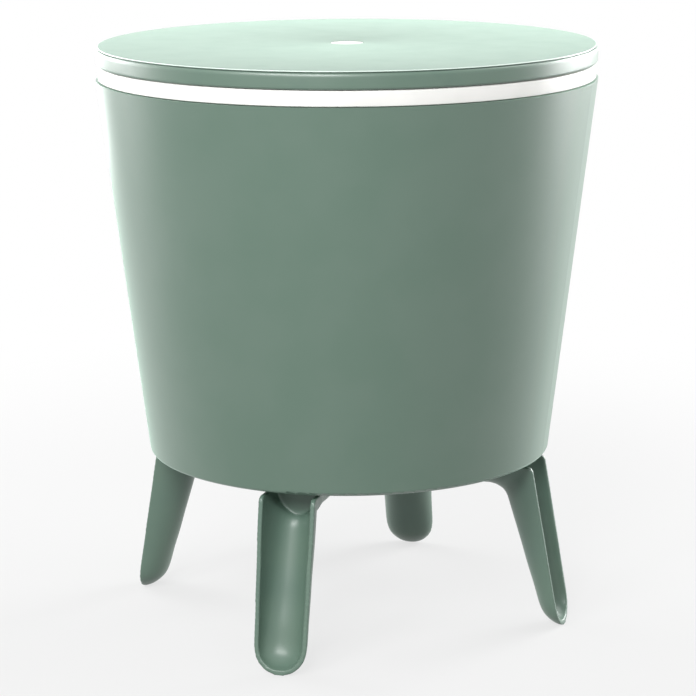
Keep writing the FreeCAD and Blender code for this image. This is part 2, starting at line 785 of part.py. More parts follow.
def make_pole_flange():
    body = new_body("pole_flange")
    bore = cell.pole_radius + cell.fit_gap
    socket_radius = bore + cell.flange_socket_wall
    plate_foot = panel_foot - cell.flange_wall
    turn_profile(body, "flange", [
        (bore, plate_foot - cell.flange_socket),
        (socket_radius, plate_foot - cell.flange_socket),
        (socket_radius, plate_foot),
        (cell.flange_radius, plate_foot),
        (cell.flange_radius, panel_foot),
        (bore, panel_foot),
    ])
    sketch = new_sketch(body, "flange_hole_outline", "XY_Plane", plate_foot)
    draw_circle(sketch, cell.flange_screw_circle, 0, cell.small_screw_shank + cell.fit_gap)
    hole = cut(body, "flange_hole", sketch, cell.flange_wall)
    repeat(body, "flange_holes", [hole], cell.flange_screw_count)
    round_rings(body, "flange_round", cell.flange_wall / 3, [(cell.flange_radius, plate_foot)])
    finish(body, "pole_flange")


def make_flange_screws():
    screws = []
    count = int(float(cell.flange_screw_count))
    for number in range(count):
        screw = make_screw(f"flange_screw_{number + 1}", cell.small_screw_head,
                           cell.small_screw_head_height, cell.small_screw_shank, cell.flange_screw_length)
        angle = 2 * math.pi * number / count
        place(screw, cell.flange_screw_circle * math.cos(angle), cell.flange_screw_circle * math.sin(angle),
              panel_foot - cell.flange_wall)
        screws.append(screw)
    group("flange_screws", screws)


bolt_seat = lid_top - cell.cap_height - cell.bolt_head_height


def make_pole_bolt():
    body = new_body("pole_bolt")
    turn_profile(body, "bolt", [
        (0, hub_foot - cell.bolt_engagement),
        (cell.pole_bolt_shank, hub_foot - cell.bolt_engagement),
        (cell.pole_bolt_shank, bolt_seat),
        (cell.pole_bolt_head, bolt_seat),
        (cell.pole_bolt_head, bolt_seat + cell.bolt_head_height - cell.running_gap),
        (0, bolt_seat + cell.bolt_head_height - cell.running_gap),
    ])
    finish(body, "pole_bolt")


# The table top: skin, skirt with a rounded lower lip, and a solid hub for the pole
def make_table_top():
    body = new_body("table_top")
    skin_foot = lid_top - cell.lid_wall
    head_room = cell.pole_bolt_head + cell.running_gap
    cap_room = cell.cap_radius + cell.running_gap
    turn_profile(body, "lid", [
        (cell.pole_bolt_shank + cell.running_gap, hub_foot),
        (cell.hub_radius, hub_foot),
        (cell.hub_radius, skin_foot),
        (lid_radius - cell.lid_wall, skin_foot),
        (lid_radius - cell.lid_wall, lid_foot),
        (lid_radius - cell.lid_lip_inset, lid_foot),
        (lid_radius, lid_foot + cell.lid_lip_height),
        (lid_radius, lid_top),
        (cap_room, lid_top),
        (cap_room, lid_top - cell.cap_height),
        (head_room, lid_top - cell.cap_height),
        (head_room, bolt_seat),
        (cell.pole_bolt_shank + cell.running_gap, bolt_seat),
    ])
    round_rings(body, "lid_edge", cell.lid_edge_round, [(lid_radius, lid_top)])
    sketch = new_sketch(body, "hub_pilot_outline", "XY_Plane", hub_foot)
    draw_circle(sketch, cell.flange_screw_circle, 0, cell.small_screw_shank + cell.fit_gap)
    depth = cell.flange_screw_length - cell.flange_wall - cell.panel_wall + cell.margin
    hole = cut(body, "hub_pilot", sketch, depth)
    repeat(body, "hub_pilots", [hole], cell.flange_screw_count)
    finish(body, "table_top")


def make_center_cap():
    body = new_body("center_cap")
    foot = lid_top - cell.cap_height
    top = lid_top - cell.cap_sink
    turn_profile(body, "cap", [
        (0, foot),
        (cell.cap_radius, foot),
        (cell.cap_radius, top),
        (0, top),
    ])
    round_rings(body, "cap_edge", cell.cap_edge_round, [(cell.cap_radius, top)])
    finish(body, "center_cap")


def make_lid_insulation():
    body = new_body("lid_insulation")
    foot = hub_foot + cell.foam_gap
    top = lid_top - cell.lid_wall - cell.foam_gap
    outer = lid_radius - cell.lid_wall - cell.foam_gap
    turn_profile(body, "lid_foam", [
        (cell.hub_radius + cell.foam_gap, foot),
        (outer, foot),
        (outer, top),
        (cell.hub_radius + cell.foam_gap, top),
    ])
    finish(body, "lid_insulation")


def make_lid_underside():
    body = new_body("lid_underside")
    outer = lid_radius - cell.lid_wall - cell.fit_gap
    turn_profile(body, "panel", [
        (cell.pole_radius + cell.running_gap, panel_foot),
        (outer, panel_foot),
        (outer, hub_foot),
        (cell.pole_radius + cell.running_gap, hub_foot),
    ])
    sketch = new_sketch(body, "panel_hole_outline", "XY_Plane", panel_foot)
    draw_circle(sketch, cell.flange_screw_circle, 0, cell.small_screw_shank + cell.fit_gap)
    hole = cut(body, "panel_hole", sketch, cell.panel_wall)
    repeat(body, "panel_holes", [hole], cell.flange_screw_count)
    finish(body, "lid_underside")


def make_plug_ring():
    # An angle-section ring under the panel, which keeps the closed lid central on the bucket
    body = new_body("plug_ring")
    outer = drum_radius(band_top - cell.plug_ring_depth, bucket_inner_inset) - cell.plug_ring_gap
    inner = outer - cell.panel_wall
    ring_foot = panel_foot - cell.plug_ring_depth
    turn_profile(body, "ring", [
        (outer - cell.plug_ring_flange, panel_foot - cell.panel_wall),
        (inner, panel_foot - cell.panel_wall),
        (inner, ring_foot),
        (outer, ring_foot),
        (outer, panel_foot),
        (outer - cell.plug_ring_flange, panel_foot),
    ])
    finish(body, "plug_ring")


# The drain: a flanged tube through both floors, closed below by a screw cap
def add_thread(body, name, corners, length):
    # A helical ridge with the given section (radius, height), wound up along Z
    sketch = new_sketch(body, f"{name}_section", "XZ_Plane")
    draw_polygon(sketch, corners)
    thread = body.newObject("PartDesign::AdditiveHelix", name)
    thread.Profile = sketch
    thread.ReferenceAxis = (sketch, ["V_Axis"])
    thread.Mode = "pitch-height-angle"
    bind(thread, Pitch=cell.thread_pitch, Height=length)
    doc.recompute()
    return thread


thread_floor = spout_foot + 0.5 * cell.thread_pitch
cap_bore = cell.spout_radius + cell.thread_depth + cell.running_gap
cap_floor = spout_foot - cell.running_gap * 2 - cell.seal_wall


def make_drain_spout():
    body = new_body("drain_spout")
    flange_foot = bucket_floor + cell.gasket_wall
    turn_profile(body, "spout", [
        (cell.spout_bore, spout_foot),
        (cell.spout_radius, spout_foot),
        (cell.spout_radius, flange_foot),
        (cell.spout_flange_radius, flange_foot),
        (cell.spout_flange_radius, flange_foot + cell.spout_flange_wall),
        (cell.spout_bore, flange_foot + cell.spout_flange_wall),
    ])
    round_rings(body, "spout_flange_round", cell.spout_flange_wall / 3, [
        (cell.spout_flange_radius, flange_foot + cell.spout_flange_wall),
    ])
    root = cell.spout_radius - cell.thread_depth / 4
    crest = cell.spout_radius + cell.thread_depth
    ridge = cell.thread_pitch / 5
    add_thread(body, "spout_thread", [
        (root, thread_floor - ridge),
        (crest, thread_floor - ridge / 2),
        (crest, thread_floor + ridge / 2),
        (root, thread_floor + ridge),
    ], cell.thread_length)
    place(body, cell.drain_offset, cell.drain_offset)
    finish(body, "drain_spout")


def make_drain_gasket():
    body = new_body("drain_gasket")
    turn_profile(body, "gasket", [
        (cell.spout_radius + cell.fit_gap, bucket_floor),
        (cell.spout_flange_radius, bucket_floor),
        (cell.spout_flange_radius, bucket_floor + cell.gasket_wall),
        (cell.spout_radius + cell.fit_gap, bucket_floor + cell.gasket_wall),
    ])
    place(body, cell.drain_offset, cell.drain_offset)
    finish(body, "drain_gasket")


def make_drain_nut():
    hexagon = doc.addObject("Part::Prism", "nut_hexagon")
    hexagon.Polygon = 6
    bind(hexagon, Circumradius=cell.nut_radius, Height=cell.nut_height)
    bore = doc.addObject("Part::Cylinder", "nut_bore")
    bind(bore, Radius=cell.spout_radius + cell.fit_gap, Height=cell.nut_height)
    nut = doc.addObject("Part::Cut", "drain_nut")
    nut.Base = hexagon
    nut.Tool = bore
    place(nut, cell.drain_offset, cell.drain_offset, bucket_underside - cell.nut_height)
    finish(nut, "drain_nut")


def make_drain_seal():
    seal = doc.addObject("Part::Cylinder", "drain_seal")
    bind(seal, Radius=cell.spout_radius + cell.thread_depth, Height=cell.seal_wall)
    place(seal, cell.drain_offset, cell.drain_offset, cap_floor + cell.running_gap)
    finish(seal, "drain_seal")


def make_drain_cap():
    body = new_body("drain_cap")
    cap_radius = cap_bore + cell.cap_wall
    cap_foot = cap_floor - cell.cap_wall
    cap_top = thread_floor + cell.thread_length + cell.thread_pitch / 4
    turn_profile(body, "drain_cap", [
        (0, cap_foot),
        (cap_radius, cap_foot),
        (cap_radius, cap_top),
        (cap_bore, cap_top),
        (cap_bore, cap_floor),
        (0, cap_floor),
    ])
    round_rings(body, "drain_cap_round", cell.cap_wall / 2, [(cap_radius, cap_foot)])
    sketch = new_sketch(body, "grip_outline", "XY_Plane", cap_foot + cell.cap_wall)
    draw_circle(sketch, cap_radius, 0, cell.cap_wall / 3)
    grip = pad(body, "grip", sketch, cap_top - cap_foot - cell.cap_wall)
    repeat(body, "grips", [grip], cell.grip_count)
    root = cap_bore + cell.thread_depth / 4
    crest = cell.spout_radius + cell.running_gap
    ridge = cell.thread_pitch / 5
    first_turn = thread_floor + cell.thread_pitch / 2
    add_thread(body, "cap_thread", [
        (root, first_turn - ridge),
        (root, first_turn + ridge),
        (crest, first_turn + ridge / 2),
        (crest, first_turn - ridge / 2),
    ], cell.thread_length - cell.thread_pitch)
    place(body, cell.drain_offset, cell.drain_offset)
    finish(body, "drain_cap")


# The legs: a hollow scoop with a half elliptical back, bent at the knee into a half round arm.
# They are drawn along +X and then turned into place.
def leg_measures():
    leg = SimpleNamespace()
    leg.wall = float(cell.leg_wall)
    leg.half_width = float(cell.leg_half_width)
    leg.top_half_width = float(cell.leg_top_half_width)
    leg.knee_round = float(cell.leg_knee_round)
    leg.toe_round = float(cell.leg_toe_round)
    leg.arm_radius = float(cell.leg_arm_radius)
    leg.arm_start = float(cell.shell_foot_radius - cell.leg_arm_inset)
    leg.step = float(cell.shell_foot_radius - cell.leg_step_inset)
    leg.web = float(leg_web)
    leg.lean = math.radians(float(cell.leg_back_lean))
    leg.back_foot = float(cell.shell_foot_radius + cell.leg_back_out)
    leg.face_foot = float(cell.shell_foot_radius + cell.leg_face_out)
    leg.face_slope = math.tan(math.radians(float(cell.leg_face_lean)))
    leg.drum_floor = float(cell.shell_foot)
    leg.blade_top = leg.drum_floor - float(cell.leg_blade_drop)
    leg.arm_axis = leg.drum_floor - float(cell.leg_arm_drop)
    leg.arm_underside = leg.arm_axis - leg.arm_radius
    leg.end_level = leg.half_width - float(cell.leg_foot_flat)
    leg.toe_level = float(cell.leg_toe_level)
    leg.toe_centre = back_line(leg, leg.toe_level) + leg.toe_round / math.cos(leg.lean)
    leg.toe_join = leg.toe_level - leg.toe_round * math.sin(leg.lean)
    leg.knee_level = leg.arm_underside - leg.knee_round
    leg.knee_centre = back_line(leg, leg.knee_level) - leg.knee_round / math.cos(leg.lean)
    leg.knee_join = leg.knee_level + leg.knee_round * math.sin(leg.lean)
    return leg


def face_line(leg, level):
    return leg.face_foot - level * leg.face_slope


def back_line(leg, level, inset=0):
    return leg.back_foot - level * math.tan(leg.lean) + inset / math.cos(leg.lean)


def leg_width(leg, level, inset):
    # Half width of the open face: straight sides that end in a half circle
    if level < leg.end_level:
        radius = leg.half_width - inset
        return math.sqrt(radius ** 2 - (leg.end_level - level) ** 2)
    share = (level - leg.end_level) / (leg.blade_top - leg.end_level)
    return leg.half_width + (leg.top_half_width - leg.half_width) * share - inset


def leg_section(back, tilt, depth, width, reach):
    # A half ellipse about the back's point, with straight sides that pass the open face by the reach
    along = V(math.cos(tilt), 0, math.sin(tilt))
    across = V(0, 1, 0)
    behind = V(back[0], 0, back[1])
    middle = behind + along * depth
    side = across * width
    beyond = along * reach
    half = Part.BSplineCurve()
    half.buildFromPolesMultsKnots([middle + side, behind + side, behind, behind - side, middle - side],
                                  [3, 2, 3], [0, 0.5, 1], False, 2, [1, math.sqrt(0.5), 1, math.sqrt(0.5), 1])
    return Part.Wire([
        Part.makeLine(middle + side + beyond, middle + side),
        half.toShape(),
        Part.makeLine(middle - side, middle - side + beyond),
        Part.makeLine(middle - side + beyond, middle + side + beyond),
    ])


def tilted_section(leg, back, tilt, inset, reach):
    # A section that looks from the back's point at a tilt, to the open face or to the arm's axis
    rise, run = math.sin(tilt), math.cos(tilt)
    to_face = (face_line(leg, back[1]) - back[0]) / (run + rise * leg.face_slope)
    to_axis = (leg.arm_axis - back[1]) / rise
    depth = min(to_face, to_axis)
    share = (tilt - leg.lean) / (math.pi / 2 - leg.lean)
    blade_width = leg_width(leg, back[1] + rise * depth, inset)
    width = blade_width + (leg.arm_radius - inset - blade_width) * max(share, 0)
    return leg_section(back, tilt, depth, width, reach)


# How far up the toe each of its sections lies, closest where it curves most
TOE_SHARES = (0, 0.05, 0.16, 0.34, 0.6, 1)
BLADE_STEPS = 4
KNEE_STEPS = 8
# The hollow starts a little over the wall above the ground, where its half circle has some width
HOLLOW_START = 1.05


def leg_scoop(leg, inset, reach):
    # The blade and the knee: outside with no inset, or the hollow with the wall as its inset
    sections = []
    toe_radius = leg.toe_round - inset
    lowest = inset * HOLLOW_START
    for share in TOE_SHARES:
        level = lowest + (leg.end_level - lowest) * share
        if level < leg.toe_join:
            back = leg.toe_centre - math.sqrt(toe_radius ** 2 - (leg.toe_level - level) ** 2)
        else:
            back = back_line(leg, level, inset)
        depth = face_line(leg, level) - back
        sections.append(leg_section((back, level), 0, depth, leg_width(leg, level, inset), reach))
    for number in range(1, BLADE_STEPS + 1):
        share = number / BLADE_STEPS
        level = leg.end_level + (leg.knee_join + inset * math.sin(leg.lean) - leg.end_level) * share
        back = (back_line(leg, level, inset), level)
        sections.append(tilted_section(leg, back, leg.lean * share, inset, reach))
    for number in range(1, KNEE_STEPS + 1):
        tilt = leg.lean + (math.pi / 2 - leg.lean) * number / KNEE_STEPS
        radius = leg.knee_round + inset
        back = (leg.knee_centre + radius * math.cos(tilt), leg.knee_level + radius * math.sin(tilt))
        sections.append(tilted_section(leg, back, tilt, inset, reach))
    return Part.makeLoft(sections, True, False)


def leg_side_slab(leg):
    # Side view of the leg above its back, as a thick slab: open face, rounded corner, step and arm
    corner = float(cell.leg_corner_round)
    foot = V(face_line(leg, 0), 0, 0)
    head = V(face_line(leg, leg.blade_top), 0, leg.blade_top)
    up_face = (head - foot).normalize()
    inward = V(-1, 0, 0)
    half_bend = up_face.getAngle(inward) / 2
    arc_start = head - up_face * corner * math.tan(half_bend)
    arc_end = head + inward * corner * math.tan(half_bend)
    arc_middle = head + (inward - up_face).normalize() * corner * (1 / math.cos(half_bend) - 1)
    corners = [
        arc_end,
        V(leg.step, 0, leg.blade_top),
        V(leg.step, 0, leg.drum_floor),
        V(leg.arm_start, 0, leg.drum_floor),
        V(leg.arm_start, 0, 0),
        foot,
        arc_start,
    ]
    edges = [Part.makeLine(first, second) for first, second in zip(corners, corners[1:])]
    edges.append(Part.Arc(arc_start, arc_middle, arc_end).toShape())
    slab = Part.Face(Part.Wire(edges)).extrude(V(0, 4 * leg.arm_radius, 0))
    slab.translate(V(0, -2 * leg.arm_radius, 0))
    return slab


def leg_arm(leg, start, end, inset):
    # Half round arm with a flat pad up to the drum's floor
    width = leg.arm_radius - inset
    length = end - start
    round_part = Part.makeCylinder(width, length, V(start, 0, leg.arm_axis), V(1, 0, 0))
    pad_part = Part.makeBox(length, 2 * width, leg.drum_floor - leg.arm_axis, V(start, -width, leg.arm_axis))
    above = Part.makeBox(length, 2 * width, width, V(start, -width, leg.drum_floor))
    return round_part.fuse(pad_part).cut(above)


def leg_shape():
    leg = leg_measures()
    tongue_thickness = float(cell.tongue_thickness)
    whole = leg_scoop(leg, 0, leg.wall).fuse(leg_arm(leg, leg.arm_start, leg.knee_centre, 0))
    pad_length = leg.step - leg.knee_centre
    pad_part = Part.makeBox(pad_length, 2 * leg.arm_radius, leg.drum_floor - leg.arm_axis,
                            V(leg.knee_centre, -leg.arm_radius, leg.arm_axis))
    whole = whole.fuse(pad_part).common(leg_side_slab(leg))

    # the hollow of the blade ends at the web, whose upper end is the tongue
    outside_web = Part.makeBox(leg.face_foot, 4 * leg.arm_radius, 2 * leg.drum_floor,
                               V(leg.web, -2 * leg.arm_radius, 0))
    whole = whole.cut(leg_scoop(leg, leg.wall, 4 * leg.wall).common(outside_web))
    core = leg_arm(leg, leg.arm_start + leg.wall, leg.web - tongue_thickness, leg.wall)

    # two screws hang in posts, with deep seats from below
    head_room = float(cell.leg_screw_head + cell.running_gap)
    shank_room = float(cell.leg_screw_shank + cell.fit_gap)
    seat_level = leg.drum_floor - float(cell.leg_screw_seat)
    drills = []
    for side in (-0.5, 0.5):
        spot = V(float(leg_screw_circle), side * float(cell.leg_screw_spread), 0)
        core = core.cut(Part.makeCylinder(head_room + leg.wall / 2, leg.drum_floor, spot))
        drills.append(Part.makeCylinder(shank_room, leg.drum_floor, spot))
        drills.append(Part.makeCylinder(head_room, seat_level, spot))
    whole = whole.cut([core] + drills)
    tongue_width = float(cell.tongue_width)
    tongue_foot = leg.arm_axis
    tongue_top = leg.drum_floor + float(cell.tongue_height)
    tongue = Part.makeBox(tongue_thickness, tongue_width, tongue_top - tongue_foot,
                          V(leg.web - tongue_thickness, -tongue_width / 2, tongue_foot))
    return whole.fuse(tongue).removeSplitter()


def make_legs():
    shape = leg_shape()
    for number, name in enumerate(("leg_right", "leg_back", "leg_left", "leg_front")):
        leg = doc.addObject("Part::Feature", name)
        leg.Shape = shape
        leg.Placement = FreeCAD.Placement(V(), FreeCAD.Rotation(V(0, 0, 1), 90 * number))
        finish(leg, name)


make_outer_shell()
make_ice_bucket()
make_pole_column()
make_wall_insulation()
make_base_insulation()
make_legs()
make_leg_screws()
make_guide_sleeve()
make_sleeve_collar()
make_collar_screws()
make_glide_ring()
make_lock_foot()
make_foot_screws()
make_lift_pole()
make_pole_plug()
make_pole_flange()
make_flange_screws()
make_pole_bolt()
make_table_top()
make_center_cap()
make_lid_insulation()
make_lid_underside()
make_plug_ring()
make_drain_spout()
make_drain_gasket()
make_drain_nut()
make_drain_seal()
make_drain_cap()
doc.recompute()

for item in doc.Objects:
    if "Invalid" in item.State or "Error" in item.State:
        raise RuntimeError(f"{item.Label} failed: {item.State}")
for piece in pieces:
    if piece.Shape.isNull() or not piece.Shape.isValid():
        raise RuntimeError(f"{piece.Label} has no valid shape")

os.makedirs("parts", exist_ok=True)
for piece in pieces:
    piece.Shape.exportStep(f"parts/{piece.Label}.step")
    print(f"{piece.Label}: {len(piece.Shape.Solids)} solids, {piece.Shape.Volume / 1000:.1f} cm3")
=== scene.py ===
import json
import math

import bmesh
import bpy
from mathutils import Matrix, Vector


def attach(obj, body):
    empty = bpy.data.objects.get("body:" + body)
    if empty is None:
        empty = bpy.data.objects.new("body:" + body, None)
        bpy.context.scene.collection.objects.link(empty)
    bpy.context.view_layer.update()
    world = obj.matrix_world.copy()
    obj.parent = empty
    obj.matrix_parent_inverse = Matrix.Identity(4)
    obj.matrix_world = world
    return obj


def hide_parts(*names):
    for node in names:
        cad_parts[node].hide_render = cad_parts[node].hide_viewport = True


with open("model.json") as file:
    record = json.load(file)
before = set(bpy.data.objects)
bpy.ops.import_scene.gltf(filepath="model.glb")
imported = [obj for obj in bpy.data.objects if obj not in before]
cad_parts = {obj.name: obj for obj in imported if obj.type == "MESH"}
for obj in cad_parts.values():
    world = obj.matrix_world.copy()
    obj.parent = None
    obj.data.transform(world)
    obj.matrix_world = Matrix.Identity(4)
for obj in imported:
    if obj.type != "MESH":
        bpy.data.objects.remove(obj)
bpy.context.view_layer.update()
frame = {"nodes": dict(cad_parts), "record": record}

# Cooler table: a tapered sage drum on four scoop legs, a white ice bucket whose rim shows,
# and a lid on a pole.
# Lengths in the dictionaries are millimetres and angles are degrees, apart from what the comments name.
mm = 0.001
weldGap = 1e-6  # metres


def linear(hexColour):
    # a screen colour as the four numbers a shader wants
    parts = [int(hexColour[i:i + 2], 16) / 255 for i in (0, 2, 4)]
    return tuple(p / 12.92 if p <= 0.04045 else ((p + 0.055) / 1.055) ** 2.4 for p in parts) + (1.0,)


# Camera, at the photograph's height and angle; its clip distances are metres

camera = {"azimuth": 17.6, "distance": 2516.9, "height": 839.0, "sideways": -0.66,
          "down": 12.757, "roll": 0.347, "focalPixels": 2562.4, "photoWidth": 696, "sensor": 36.0,
          "clipStart": 0.05, "clipEnd": 60}


def placeCamera(values):
    data = bpy.data.cameras.new("photoCamera")
    data.sensor_width = values["sensor"]
    data.lens = values["sensor"] * values["focalPixels"] / values["photoWidth"]
    data.clip_start, data.clip_end = values["clipStart"], values["clipEnd"]
    eye = bpy.data.objects.new("photoCamera", data)
    bpy.context.scene.collection.objects.link(eye)
    turn = Matrix.Rotation(math.radians(values["azimuth"]), 4, "Z")
    spot = turn @ Vector((values["sideways"] * mm, -values["distance"] * mm, values["height"] * mm))
    tilt = Matrix.Rotation(math.radians(90 - values["down"]), 4, "X")
    level = Matrix.Rotation(math.radians(-values["roll"]), 4, "Z")
    eye.matrix_world = Matrix.Translation(spot) @ turn @ tilt @ level
    bpy.context.scene.camera = eye
    print("camera stands", [round(c, 3) for c in spot])


placeCamera(camera)


# Shader sums: a Wired is a socket that can be added, subtracted and multiplied

class Wired:
    def __init__(self, shading, socket):
        self.shading, self.socket = shading, socket

    def sum(self, operation, first, second):
        return self.shading.node("ShaderNodeMath", {"operation": operation}, {0: first, 1: second})

    def __add__(self, other):
        return self.sum("ADD", self, other)

    def __sub__(self, other):
        return self.sum("SUBTRACT", self, other)

    def __rsub__(self, other):
        return self.sum("SUBTRACT", other, self)

    def __mul__(self, other):
        return self.sum("MULTIPLY", self, other)

    __radd__ = __add__
    __rmul__ = __mul__

    def over(self, low, high):
        # 0 below low, 1 above high, smooth between
        return self.shading.node("ShaderNodeMapRange", {"interpolation_type": "SMOOTHSTEP"},
                                {"Value": self, "From Min": low, "From Max": high})


class Shading:
    def __init__(self, tree):
        self.tree = tree

    def node(self, kind, settings=None, sockets=None, out=0):
        made = self.tree.nodes.new(kind)
        for name, value in (settings or {}).items():
            setattr(made, name, value)
        for name, value in (sockets or {}).items():
            self.feed(made.inputs[name], value)
        return Wired(self, made.outputs[out])

    def feed(self, socket, value):
        if isinstance(value, Wired):
            self.tree.links.new(value.socket, socket)
        else:
            socket.default_value = value

    def seen(self):
        # 1 where the camera looks, straight, mirrored or through something, and 0 for the light itself
        straight = self.node("ShaderNodeLightPath", out="Is Camera Ray")
        mirrored = self.node("ShaderNodeLightPath", out="Is Glossy Ray")
        through = self.node("ShaderNodeLightPath", out="Is Transmission Ray")
        return (straight + mirrored + through).over(0.0, 0.5)


class Finish(Shading):
    def __init__(self, name, **fixed):
        self.material = bpy.data.materials.new(name)
        self.material.use_nodes = True
        super().__init__(self.material.node_tree)
        self.shader = self.tree.nodes["Principled BSDF"]
        for socket, value in fixed.items():
            self.shader.inputs[socket.replace("_", " ")].default_value = value
        self.spot = self.node("ShaderNodeTexCoord", out="Object")

    def noise(self, size, stretch=(1, 1, 1), detail=2.0, turn=(0, 0, 0)):
        # noise whose lumps are about that many millimetres across
        spot = self.node("ShaderNodeMapping", None,
                         {"Vector": self.spot, "Scale": stretch, "Rotation": turn})
        return self.node("ShaderNodeTexNoise", None,
                         {"Vector": spot, "Scale": 1 / (size * mm), "Detail": detail})

    def specks(self, size, spacing, edge):
        # sparse round dots: 1 inside a dot, fading out over its edge, which is in shares of its size
        return 1 - self.cells(spacing).over(*[reach * size / spacing for reach in edge])

    def cells(self, spacing):
        # distance to the nearest of many scattered points
        return self.node("ShaderNodeTexVoronoi", {"feature": "F1"},
                         {"Vector": self.spot, "Scale": 1 / (spacing * mm)}, out="Distance")

    def blendColours(self, share, first, second):
        # sockets 6 and 7 are the colours A and B, output 2 is the colour
        return self.node("ShaderNodeMix", {"data_type": "RGBA"}, {0: share, 6: first, 7: second}, out=2)

    def mottle(self, pattern, span, first, second):
        # one screen colour below the span of the pattern and the other above it
        return self.blendColours(pattern.over(*span), linear(first), linear(second))

    def bump(self, height, depth, under=None):
        sockets = {"Height": height, "Distance": depth * mm, "Strength": 1.0}
        if under is not None:
            sockets["Normal"] = under
        return self.node("ShaderNodeBump", None, sockets)

    def wear(self, **sockets):
        for name, value in sockets.items():
            self.feed(self.shader.inputs[name.replace("_", " ")], value)
        return self.material


# Finishes: a span is the part of a pattern's range, 0 to 1, over which it takes effect; turns are radians

sageValues = {
    "colour": "587163", "pale": "5b7365", "deep": "567061",
    "roughness": 0.42, "cloud": 70, "cloudSpan": (0.35, 0.65), "cloudRoughness": 0.08,
    "skin": 0.8, "skinRoughness": 0.34,
    "sheen": 0.0, "sheenRoughness": 0.3, "sheenColour": "c2ebd5",
    "grain": 0.55, "grainSpan": (0.3, 0.7), "grainShare": 0.25, "grainDepth": 0.018,
    "wave": 0.10, "waveSize": 55, "waveStretch": (1, 1, 1),
    "scratch": 3.5, "scratchStretch": (1, 1, 0.08), "scratchTurn": (0.4, 0.2, 0.5),
    "scratchSpan": (0.62, 0.75), "scuffs": 0.06,
    "speck": "95a59b", "speckSize": 0.5, "speckSpacing": 26, "speckEdge": (0.35, 0.65),
    "speckShare": 0.6,
    "smudges": 0.0, "smudgeSize": 32, "smudgeTurn": (0, 0, 0.6), "smudgeSpan": (0.52, 0.66),
    "smudgeRoughness": 0.5, "smear": "4e695d",
    # edge is the colour of the painted highlight round the lid top's outer edge, and the numbers after it
    # place that line
    "edge": "dcebe3", "rimHighlightShare": 0.85, "rimHighlightAcross": (0.7, 0.1), "rimHighlightDown": (0.9, 0.5),
}


def sagePlastic(name, values, rim=None):
    # the moulded skin is a little glossier than the plastic under it, and pales at a low angle
    finish = Finish(name, IOR=1.5, Coat_Weight=values["skin"], Coat_Roughness=values["skinRoughness"],
                    Sheen_Weight=values["sheen"], Sheen_Roughness=values["sheenRoughness"],
                    Sheen_Tint=linear(values["sheenColour"]))
    cloud = finish.noise(values["cloud"], detail=3.0)
    grain = finish.noise(values["grain"], detail=3.0)
    swirl = finish.noise(values["waveSize"], values["waveStretch"], detail=1.0)
    scratch = finish.noise(values["scratch"], values["scratchStretch"], detail=4.0,
                           turn=values["scratchTurn"])
    speck = finish.specks(values["speckSize"], values["speckSpacing"], values["speckEdge"])
    colour = finish.mottle(cloud, values["cloudSpan"], values["deep"], values["pale"])
    colour = finish.blendColours(grain.over(*values["grainSpan"]) * values["grainShare"], colour,
                                 linear(values["colour"]))
    colour = finish.blendColours(speck * values["speckShare"], colour, linear(values["speck"]))
    rough = values["roughness"] + (cloud - 0.5) * values["cloudRoughness"]
    rough = rough + scratch.over(*values["scratchSpan"]) * values["scuffs"]
    smudges = values["smudges"]
    if smudges:
        # hands have polished and dulled the top in patches
        smear = finish.noise(values["smudgeSize"], detail=2.5, turn=values["smudgeTurn"])
        colour = finish.blendColours(smear.over(*values["smudgeSpan"]) * smudges, colour,
                                     linear(values["smear"]))
        rough = rough + (smear - 0.5) * smudges * values["smudgeRoughness"]
    if rim:
        # a fine pale line painted round the top's outer edge is a painted highlight
        across = finish.node("ShaderNodeVectorMath", {"operation": "MULTIPLY"},
                             {0: finish.spot, 1: (1, 1, 0)})
        radius = finish.node("ShaderNodeVectorMath", {"operation": "LENGTH"}, {0: across}, out="Value")
        height = finish.node("ShaderNodeSeparateXYZ", None, {0: finish.spot}, out="Z")
        edge = rim["radius"] - rim["shoulderOut"]
        paintedHighlight = radius.over(*[(edge - reach) * mm for reach in values["rimHighlightAcross"]])
        paintedHighlight = paintedHighlight * height.over(*[(rim["top"] - reach) * mm for reach in values["rimHighlightDown"]])
        colour = finish.blendColours(paintedHighlight * values["rimHighlightShare"], colour, linear(values["edge"]))
    normal = finish.bump(swirl, values["wave"])
    normal = finish.bump(grain, values["grainDepth"], normal)
    return finish.wear(Base_Color=colour, Roughness=rough, Normal=normal)


greyValues = {"colour": "5d6060", "shade": "505353", "roughness": 0.5,
              "cloud": 35, "cloudSpan": (0.35, 0.7), "cloudRoughness": 0.1,
              "grain": 0.8, "grainDepth": 0.02}
whiteValues = {**greyValues, "colour": "f6f5f2", "shade": "eeeeea", "roughness": 0.38,
               "cloud": 60, "cloudSpan": (0.4, 0.7), "grain": 0.7, "grainDepth": 0.01}
rubberValues = {**greyValues, "colour": "26282a", "shade": "3a3c3d", "roughness": 0.75,
                "grain": 0.6, "grainDepth": 0.03}


def plainMoulded(name, values):
    finish = Finish(name, IOR=1.5)
    cloud = finish.noise(values["cloud"], detail=3.0)
    grain = finish.noise(values["grain"])
    colour = finish.mottle(cloud, values["cloudSpan"], values["colour"], values["shade"])
    rough = values["roughness"] + (cloud - 0.5) * values["cloudRoughness"]
    return finish.wear(Base_Color=colour, Roughness=rough,
                       Normal=finish.bump(grain, values["grainDepth"]))


aluminiumValues = {"colour": "c9cbcc", "dark": "b4b6b8", "roughness": 0.3,
                   "haze": 45, "hazeSpan": (0.35, 0.7), "hazeRoughness": 0.12,
                   "lines": 0.6, "lineStretch": (1, 1, 0.004), "lineRoughness": 0.1, "lineDepth": 0.01}


